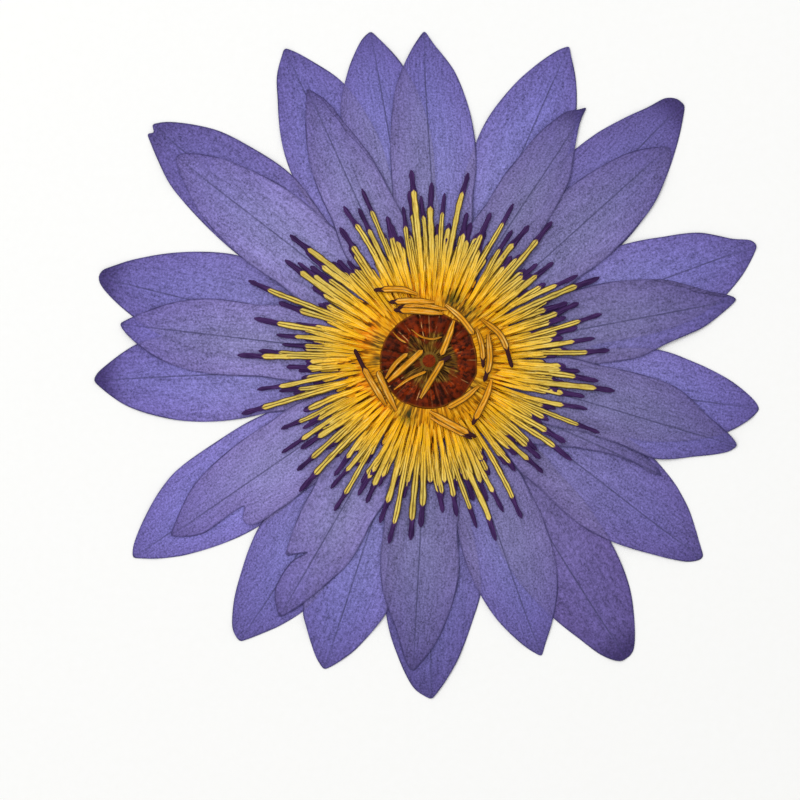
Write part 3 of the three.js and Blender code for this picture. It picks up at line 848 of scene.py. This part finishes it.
# More curled straps, from root to tip: width, the share of dark tip, and the path
curledExtra = [
    (1.3, 1.0, [(10.4, 7.3), (11.6, 3.4), (11.9, -1.5)]),
    (1.2, 0.6, [(3.9, 11.3), (-1.6, 12.2), (-6.9, 11.8)]),
    (1.5, 0.0, [(-7.2, -10.9), (-9.4, -6.6), (-11.3, -2.2)]),
    (1.1, 1.0, [(0.3, -12.5), (4.9, -14.9), (9.5, -17.2)]),
    (1.2, 0.0, [(-9.6, -3.9), (-7.4, -0.7), (-4.7, 1.7)]),
    (0.75, 0.0, [(-7.7, -6.3), (-4.4, -4.0), (-0.6, -2.3)]),
    (0.5, 0.0, [(-3.9, 6.9), (-1.9, 5.4), (0.6, 4.8), (2.9, 5.3)]),
    (0.5, 0.0, [(-8.0, 6.4), (-6.6, 4.9), (-4.9, 3.9)]),
]


def curledPart(path, width, darkTip, low, rng):
    centre = smoothStretch(path, curled["step"])
    along = np.r_[0, np.cumsum(np.linalg.norm(np.diff(centre, axis=0), axis=1))]
    toTip = along[-1] - along
    tipLength = curled["tipLength"] * darkTip * rng.uniform(0.75, 1.15)
    share = smooth(tipLength + 0.6, tipLength - 0.3, toTip)
    narrow = width * curled["tipWidth"] / curled["width"]
    wide = width * (1 - share) + narrow * share
    wide = wide * np.sqrt(np.clip(toTip / 0.6 + 0.1, 0, 1)) * (0.5 + 0.5 * smooth(0, 3, along))
    thickness = curled["thickness"] * np.sqrt(np.clip(toTip / 0.6 + 0.15, 0, 1))
    wave = 0.2 * np.sin(np.pi * along / along[-1]) + 0.07 * np.sin(along * 0.9)
    wave = wave - curled["settle"] * smooth(10.6, 13, np.hypot(*centre.T))
    wave = wave - 0.3 * smooth(2.5, 0, along)       # the root dips in among the filaments
    vertices, faces, side = ribbonMesh(centre, wide, low + wave, thickness, share)
    count = len(side)
    values = {
        "side": side, "toTip": np.repeat(toTip, strapPoints), "radius": np.full(count, 16.0),
        "tipLength": np.full(count, tipLength - 0.3), "number": np.full(count, rng.uniform(0, 90)),
        "groove": np.full(count, rng.choice([0.1, 0.6])),
        "tone": np.full(count, rng.uniform(-1.2, 0.2)), "curled": np.full(count, 0.85),
        "lineShow": np.full(count, 0.9), "stain": np.zeros(count),
    }
    return vertices, faces, values


def layCurled(material):
    for node in sorted(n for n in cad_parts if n.startswith("curled")):
        rng = np.random.default_rng([5, *node.encode()])
        low = curled["level"] + rng.uniform(0, 0.3)
        darkTip = curledTips.get(node[-2:], 1)
        vertices, faces, values = curledPart(curledCentre(node), curled["width"], darkTip, low,
                                             rng)
        makePiece("curledStamen" + node[-2:], vertices, faces, values, {}, material,
                  [node])
    rng = np.random.default_rng(6)
    parts = [curledPart(np.array(path), width, darkTip, curled["level"] - 0.12, rng)
             for width, darkTip, path in curledExtra]
    vertices, faces, values = joinParts(parts)
    makePiece("curledFilaments", vertices, faces, values, {}, material, [])
    print("curled stamens laid")


anther = stamenMaterial()
layStamens(anther)
layCurled(anther)


# The golden ring of filament roots round the pistil
rootRing = {
    "inner": 10.6, "outer": 18.4, "ragged": 3.8, "columns": 1080, "rows": 18,
    "innerHeight": 4.05, "outerDrop": 1.5, "ridge": 0.36,
}


def angularNoise(rng, columns, knots):
    # Smooth noise that closes on itself round the ring, from 0 to 1.
    values = rng.uniform(0, 1, knots)
    place = np.arange(columns) * knots / columns
    low = place.astype(int)
    t = smooth(0, 1, place - low)
    return values[low % knots] * (1 - t) + values[(low + 1) % knots] * t


# Filament roots: dry, waxy and packed side by side, so they read as fine golden streaks with
# brown between them and painted pale highlights along them, stained olive and orange in places.
ringFinish = {
    # pale is a painted highlight along the raised streaks
    "gold": "#e89e08", "amber": "#bc6608", "brown": "#46250a", "pale": "#fccc40",
    "stain": "#33331a", "glow": "#ee820a",
    "roughness": 0.6, "specular": 0.08,
    "streaksPerRadian": 24, "streakLengthMm": 4.0, "bump": 0.5,
}


def ringMaterial():
    finish = ringFinish
    material, tree, shader = newMaterial("driedFilament", finish["roughness"],
                                         finish["specular"])
    names = ("radius", "turnX", "turnY", "stain", "glow", "lineShow")
    value = {name: addNode(tree, "ShaderNodeAttribute", attribute_name=name).outputs["Fac"]
             for name in names}
    place = addNode(tree, "ShaderNodeCombineXYZ", {
        "X": value["turnX"], "Y": value["turnY"], "Z": value["radius"]})
    perRadian = finish["streaksPerRadian"]
    stretched = addNode(tree, "ShaderNodeVectorMath", {
        0: place, 1: (perRadian, perRadian, 1 / finish["streakLengthMm"])},
        operation="MULTIPLY")
    streak = addNode(tree, "ShaderNodeTexNoise", {
        "Vector": stretched, "Scale": 1.0, "Detail": 2.0, "Roughness": 0.7})
    broad = addNode(tree, "ShaderNodeVectorMath", {0: place, 1: (5, 5, 0.5)},
                    operation="MULTIPLY")
    patch = addNode(tree, "ShaderNodeTexNoise", {"Vector": broad, "Scale": 1.0, "Detail": 3.0})
    mottled = addNode(tree, "ShaderNodeMapRange", {
        "Value": patch, 1: 0.45, 2: 0.75, 3: 0.0, 4: 0.7})
    # Painted highlight: pale where the streaks stand up
    paintedHighlight = addNode(tree, "ShaderNodeMapRange", {
        "Value": streak, 1: 0.54, 2: 0.66, 3: 0.0, 4: 0.7})
    between = addNode(tree, "ShaderNodeMapRange", {"Value": streak, 1: 0.50, 2: 0.42},
                      interpolation_type="SMOOTHSTEP")
    between = addNode(tree, "ShaderNodeMath", {0: between, 1: value["lineShow"]},
                      operation="MULTIPLY")
    streaky = addNode(tree, "ShaderNodeMapRange", {
        "Value": streak, 1: 0.62, 2: 0.42, 3: 0.25, 4: 1.0})
    stained = addNode(tree, "ShaderNodeMath", {0: value["stain"], 1: streaky},
                      operation="MULTIPLY")
    colour = toLinear(finish["gold"])
    for share, shade in ((mottled, "amber"), (value["glow"], "glow"), (paintedHighlight, "pale"),
                         (between, "brown"), (stained, "stain")):
        colour = addNode(tree, "ShaderNodeMix", {
            0: share, 6: colour, 7: toLinear(finish[shade])}, data_type="RGBA")
    tree.links.new(colour.outputs[2], shader.inputs["Base Color"])
    bump = addNode(tree, "ShaderNodeBump", {
        "Height": streak, "Strength": finish["bump"], "Distance": 0.0003})
    tree.links.new(bump.outputs[0], shader.inputs["Normal"])
    return material


def layRootRing():
    size = rootRing
    rng = np.random.default_rng(11)
    columns, rows = size["columns"], size["rows"]
    azimuth = np.arange(columns) * 360 / columns
    fine = angularNoise(rng, columns, 300)
    broad = angularNoise(rng, columns, 110)
    teeth = angularNoise(rng, columns, 300)
    reach = size["outer"] + size["ragged"] * (teeth - 0.4) + 1.2 * (broad - 0.5)
    t = np.linspace(0, 1, rows)[:, None]
    radius = size["inner"] + (reach - size["inner"])[None] * t
    drift = azimuth[None] + 0.6 * np.sin(radius * 0.8 + azimuth[None] * 0.3)
    flat = polar(radius, drift)
    ridge = size["ridge"] * (0.6 * fine + 0.4 * broad)[None] * (0.4 + 0.6 * np.sin(np.pi * t))
    high = size["innerHeight"] - size["outerDrop"] * smooth(0, 1, t) ** 1.2 + ridge - 0.2 * t
    low = np.minimum(high - 0.12, size["innerHeight"] - 1.0 - size["outerDrop"] * t)
    top = np.dstack([flat, high]).reshape(-1, 3)
    back = np.dstack([flat, low]).reshape(-1, 3)
    count = rows * columns
    faces = []
    for i in range(rows - 1):
        for j in range(columns):
            a, b = i * columns + j, i * columns + (j + 1) % columns
            faces.append((a, a + columns, b + columns, b))
            faces.append((b + count, b + columns + count, a + columns + count, a + count))
    for j in range(columns):
        k = (j + 1) % columns
        faces.append((j, k, k + count, j + count))
        a, b = count - columns + j, count - columns + k
        faces.append((b, a, a + count, b + count))
    values = {
        "radius": radius.ravel(),
        "turnX": np.cos(np.radians(drift)).ravel(), "turnY": np.sin(np.radians(drift)).ravel(),
        "stain": 0.95 * stainAmount(stains, drift, radius).ravel(),
        "glow": 0.75 * stainAmount(glows, drift, radius).ravel(),
        "lineShow": (0.55 + 0.4 * smooth(12, 17, radius)).ravel(),
    }
    values = {key: np.tile(value, 2) for key, value in values.items()}
    makePiece("filamentRing", np.vstack([top, back]), faces, values, {}, ringMaterial(),
              [])
    print("filament ring laid")


layRootRing()


# The pistil: a fleshy disc of seed chambers with a knob at its middle
pistil = {
    "columns": 540, "chambers": 24, "unevenDegrees": 3.2,
    "top": 4.5, "dish": 0.3, "knobRise": 0.42,
    "chamberInner": 5.6,   # where the chambers start, outside the striped stigma
}


def pistilRows():
    # Radius and height, from the middle out over the rim and back in underneath.
    top, dish = pistil["top"], pistil["dish"]
    knobTop = top + pistil["knobRise"]
    rows = [(r, knobTop - 0.06 * (r / 1.5) ** 4) for r in (0.02, 0.5, 0.9, 1.25, 1.42)]
    rows += [(1.52, knobTop - 0.16), (1.66, top - dish + 0.08)]
    rows += [(r, top - dish) for r in np.linspace(1.8, 5.4, 16)]
    rows += [(r, top - dish + 0.2 * math.sin(math.pi * (r - 5.4) / 5.3))
             for r in np.linspace(5.6, 10.4, 26)]
    rows += [(10.7, top - 0.25), (10.88, top - 0.5), (10.9, top - 0.9)]
    rows += [(10.1, 2.7), (9.7, 1.4), (9.3, 0.35), (9.05, 0.08)]
    rows += [(r, 0.02 + 0.06 * math.sin(r * 3)) for r in (8.2, 7.2, 6.2, 5.2, 4.2, 3.4)]
    rows += [(2.75, 0.0), (2.5, 0.12), (2.2, 0.3), (1.2, 0.34), (0.02, 0.32)]   # the scar
    return np.array(rows)


def layPistil(material):
    rows = pistilRows()
    columns = pistil["columns"]
    rng = np.random.default_rng(21)
    azimuth = np.arange(columns)[None] * 360 / columns
    radius, height = rows[:, 0, None], rows[:, 1, None]
    spacing = 360 / pistil["chambers"]
    walls = np.arange(pistil["chambers"]) * spacing
    walls = walls + rng.uniform(-1, 1, len(walls)) * pistil["unevenDegrees"]
    bends = rng.uniform(-1.6, 1.6, len(walls))
    # How strongly each wall carries its painted pale highlight
    wallHighlightStrengths = rng.choice([0.1, 0.35, 0.9], len(walls))
    embers = rng.uniform(0, 1, len(walls))

    # Distance from the nearest wall between two chambers, each wall a little curved
    curve = smooth(6, 10.5, radius)
    gap = np.full((len(rows), columns), 9.0)
    wall = np.zeros_like(gap)
    ember = np.zeros_like(gap)
    for i in range(len(walls)):
        turn = (azimuth - walls[i] - bends[i] * curve + 180) % 360 - 180
        distance = np.abs(np.radians(turn)) * radius
        nearer = distance < gap
        gap = np.where(nearer, distance, gap)
        wall = np.where(nearer, wallHighlightStrengths[i], wall)
        ember = np.where(nearer, embers[i], ember)
    edge = pistil["chamberInner"] + 2.4 * (angularNoise(rng, columns, 17) - 0.5)[None]
    chambers = smooth(-0.4, 0.5, radius - edge) * (height > 3)
    onTop = smooth(1.7, 2.2, radius) * (height > 3)
    lumps = angularNoise(rng, columns, 75)[None] - 0.5
    stripe = angularNoise(rng, columns, 110)[None] - 0.5
    high = height + chambers * (0.26 * smooth(0, 1.0, gap) - 0.2) * smooth(10.95, 10.2, radius)
    high = high + 0.1 * lumps * onTop * smooth(10.9, 9.5, radius)
    high = high + 0.13 * stripe * onTop * (1 - chambers)
    uneven = 1 + 0.05 * (angularNoise(rng, columns, 23) - 0.7)[None] * smooth(8, 10.9, radius)
    uneven = uneven + 0.09 * (angularNoise(rng, columns, 7) - 0.5)[None] * smooth(2, 1, radius)
    flat = polar(radius * uneven, np.broadcast_to(azimuth, high.shape))
    vertices = np.dstack([flat, np.maximum(high, 0)]).reshape(-1, 3)
    faces = []
    for i in range(len(rows) - 1):
        for j in range(columns):
            a, b = i * columns + j, i * columns + (j + 1) % columns
            faces.append((a, a + columns, b + columns, b))
    last = (len(rows) - 1) * columns
    faces.append(tuple(range(columns)))
    faces.append(tuple(range(last, last + columns))[::-1])
    turn = np.radians(np.tile(azimuth, (len(rows), 1)))
    values = {
        "radius": np.repeat(rows[:, 0], columns), "height": vertices[:, 2],
        "turnX": np.cos(turn).ravel(), "turnY": np.sin(turn).ravel(),
        "gap": gap.ravel(), "wall": wall.ravel(), "ember": ember.ravel(),
        "chambers": chambers.ravel(),
    }
    makePiece("pistilDisc", vertices, faces, values, {}, material, ["pistil"])
    print("pistil made")


# Dried carpel tissue: shrunken, resinous and slightly glossy, dark maroon with embers of
# orange at the chambers' inner ends, striped olive round the knob, and dull brown below.
pistilFinish = {
    "maroon": "#662005", "black": "#2c0e05", "ember": "#a83805", "blaze": "#d25808",
    "olive": "#64420f", "pale": "#9c7428", "dark": "#2a1506", "wall": "#e0a868",
    # wall is a painted highlight along the walls between chambers
    "knob": "#842c05", "knobDark": "#5f1e04", "knobRim": "#85662a", "rim": "#8a5210",
    "foot": "#7d6a3c", "scar": "#4a3a20", "roughness": 0.42, "specular": 0.05,
}


def pistilMaterial():
    finish = pistilFinish
    material, tree, shader = newMaterial("driedCarpel", finish["roughness"],
                                         finish["specular"])
    names = ("radius", "height", "turnX", "turnY", "gap", "wall", "ember", "chambers")
    value = {name: addNode(tree, "ShaderNodeAttribute", attribute_name=name).outputs["Fac"]
             for name in names}
    position = addNode(tree, "ShaderNodeNewGeometry")
    fine = addNode(tree, "ShaderNodeTexNoise", {       # lumps of about 1 mm
        "Vector": position, "Scale": 950.0, "Detail": 4.0, "Roughness": 0.65})
    coarse = addNode(tree, "ShaderNodeTexNoise", {     # patches of about 3 mm
        "Vector": position, "Scale": 350.0, "Detail": 3.0, "Roughness": 0.6})
    place = addNode(tree, "ShaderNodeCombineXYZ", {
        "X": value["turnX"], "Y": value["turnY"], "Z": value["radius"]})
    stretched = addNode(tree, "ShaderNodeVectorMath", {0: place, 1: (13, 13, 0.35)},
                        operation="MULTIPLY")
    ray = addNode(tree, "ShaderNodeTexNoise", {
        "Vector": stretched, "Scale": 1.0, "Detail": 2.0, "Roughness": 0.6})

    # The striped stigma round the knob
    darkRay = addNode(tree, "ShaderNodeMapRange", {"Value": ray, 1: 0.50, 2: 0.42})
    paleRay = addNode(tree, "ShaderNodeMapRange", {"Value": ray, 1: 0.55, 2: 0.66})
    reddened = addNode(tree, "ShaderNodeMapRange", {
        "Value": coarse, 1: 0.5, 2: 0.62, 3: 0.0, 4: 0.8})
    stigma = toLinear(finish["olive"])
    for share, shade in ((darkRay, "dark"), (paleRay, "pale"), (reddened, "maroon")):
        stigma = addNode(tree, "ShaderNodeMix", {
            0: share, 6: stigma, 7: toLinear(finish[shade])}, data_type="RGBA")

    # The chambers: nearly black to maroon, glowing at their inner ends, with painted pale
    # highlights along the walls between them
    stretched = addNode(tree, "ShaderNodeVectorMath", {0: place, 1: (9, 9, 0.3)},
                        operation="MULTIPLY")
    wedge = addNode(tree, "ShaderNodeTexNoise", {
        "Vector": stretched, "Scale": 1.0, "Detail": 1.0})
    flesh = addNode(tree, "ShaderNodeMath", {0: wedge, 1: 1.1, 2: fine},
                    operation="MULTIPLY_ADD")
    flesh = addNode(tree, "ShaderNodeMapRange", {"Value": flesh, 1: 0.88, 2: 1.16})
    mottle = addNode(tree, "ShaderNodeMapRange", {"Value": fine, 1: 0.44, 2: 0.60})
    glow = addNode(tree, "ShaderNodeMapRange", {"Value": value["radius"], 1: 10.2, 2: 6.4})
    glow = addNode(tree, "ShaderNodeMath", {0: glow, 1: value["ember"]}, operation="MULTIPLY")
    glow = addNode(tree, "ShaderNodeMath", {0: glow, 1: mottle}, operation="MULTIPLY",
                   use_clamp=True)
    hottest = addNode(tree, "ShaderNodeMapRange", {"Value": glow, 1: 0.55, 2: 0.9})
    # Painted highlight: pale lines along the walls between chambers
    wallHighlightMix = addNode(tree, "ShaderNodeMapRange", {"Value": value["gap"], 1: 0.13, 2: 0.04})
    broken = addNode(tree, "ShaderNodeMapRange", {"Value": coarse, 1: 0.46, 2: 0.56})
    for part in (value["wall"], broken):
        wallHighlightMix = addNode(tree, "ShaderNodeMath", {0: wallHighlightMix, 1: part},
                          operation="MULTIPLY")
    chamber = toLinear(finish["black"])
    for share, shade in ((flesh, "maroon"), (glow, "ember"), (hottest, "blaze"),
                         (wallHighlightMix, "wall")):
        chamber = addNode(tree, "ShaderNodeMix", {
            0: share, 6: chamber, 7: toLinear(finish[shade])}, data_type="RGBA")

    # The knob, and the weathered foot with its scar
    knob = addNode(tree, "ShaderNodeMix", {
        0: flesh, 6: toLinear(finish["knobDark"]), 7: toLinear(finish["knob"])},
        data_type="RGBA")
    weathered = addNode(tree, "ShaderNodeMapRange", {"Value": fine, 1: 0.4, 2: 0.65})
    scarMix = addNode(tree, "ShaderNodeMapRange", {"Value": value["radius"], 1: 2.9, 2: 2.4})
    below = toLinear(finish["foot"])
    for share, shade in ((weathered, "rim"), (scarMix, "scar")):
        below = addNode(tree, "ShaderNodeMix", {
            0: share, 6: below, 7: toLinear(finish[shade])}, data_type="RGBA")

    # Put together from the middle out and down
    rimMix = addNode(tree, "ShaderNodeMapRange", {
        "Value": value["radius"], 1: 10.3, 2: 10.85, 3: 0.0, 4: 0.8})
    collar = addNode(tree, "ShaderNodeMapRange", {
        "Value": value["radius"], 1: 2.2, 2: 1.7, 3: 0.0, 4: 0.8})
    isKnob = addNode(tree, "ShaderNodeMapRange", {"Value": value["radius"], 1: 1.52, 2: 1.38})
    isBelow = addNode(tree, "ShaderNodeMapRange", {"Value": value["height"], 1: 3.6, 2: 3.2})
    colour = stigma
    for share, part in ((value["chambers"], chamber), (rimMix, toLinear(finish["rim"])),
                        (collar, toLinear(finish["knobRim"])), (isKnob, knob),
                        (isBelow, below)):
        colour = addNode(tree, "ShaderNodeMix", {0: share, 6: colour, 7: part},
                         data_type="RGBA")
    tree.links.new(colour.outputs[2], shader.inputs["Base Color"])
    relief = addNode(tree, "ShaderNodeMath", {0: coarse, 1: 0.6, 2: fine},
                     operation="MULTIPLY_ADD")
    bump = addNode(tree, "ShaderNodeBump", {
        "Height": relief, "Strength": 0.5, "Distance": 0.0003})
    tree.links.new(bump.outputs[0], shader.inputs["Normal"])
    return material


layPistil(pistilMaterial())


studio = {
    "floorSize": 1.6, "floorColour": "#fdfdfc", "floorGrain": "#fafaf8",
    "keyEnergy": 14.0, "keySize": 1.4, "keyPlace": (-0.5, 0.45, 1.5),
    "worldColour": "#ffffff", "worldStrength": 0.6,
    "eyeHeight": 1.2,
    "viewCentre": (-6.4, -8.6), "viewWidth": 176.6,     # millimetres
}


def makeStudio():
    bpy.ops.mesh.primitive_plane_add(size=studio["floorSize"])
    floor = bpy.context.object
    floor.name = "floor"
    material, tree, shader = newMaterial("whiteCard", 0.9, 0.2)
    grain = addNode(tree, "ShaderNodeTexNoise", {"Scale": 900.0, "Detail": 2.0})
    tone = addNode(tree, "ShaderNodeMix", {
        0: grain, 6: toLinear(studio["floorColour"]), 7: toLinear(studio["floorGrain"])},
        data_type="RGBA")
    tree.links.new(tone.outputs[2], shader.inputs["Base Color"])
    floor.data.materials.append(material)

    lamp = bpy.data.lights.new("softKey", "AREA")
    lamp.shape = "DISK"
    lamp.size = studio["keySize"]
    lamp.energy = studio["keyEnergy"]
    key = bpy.data.objects.new("softKey", lamp)
    key.location = studio["keyPlace"]
    key.rotation_euler = (-key.location).to_track_quat("-Z", "Y").to_euler()
    bpy.context.scene.collection.objects.link(key)

    world = bpy.data.worlds.new("paleRoom")
    world.use_nodes = True
    background = world.node_tree.nodes["Background"]
    background.inputs["Color"].default_value = toLinear(studio["worldColour"])
    background.inputs["Strength"].default_value = studio["worldStrength"]
    bpy.context.scene.world = world
    bpy.context.scene.view_settings.view_transform = "Standard"


def makeCamera():
    eye = bpy.data.cameras.new("overhead")
    eye.sensor_width = 36
    eye.lens = eye.sensor_width * studio["eyeHeight"] / (studio["viewWidth"] * mm)
    camera = bpy.data.objects.new("overhead", eye)
    x, y = studio["viewCentre"]
    camera.location = (x * mm, y * mm, studio["eyeHeight"])
    bpy.context.scene.collection.objects.link(camera)
    bpy.context.scene.camera = camera


makeStudio()
makeCamera()
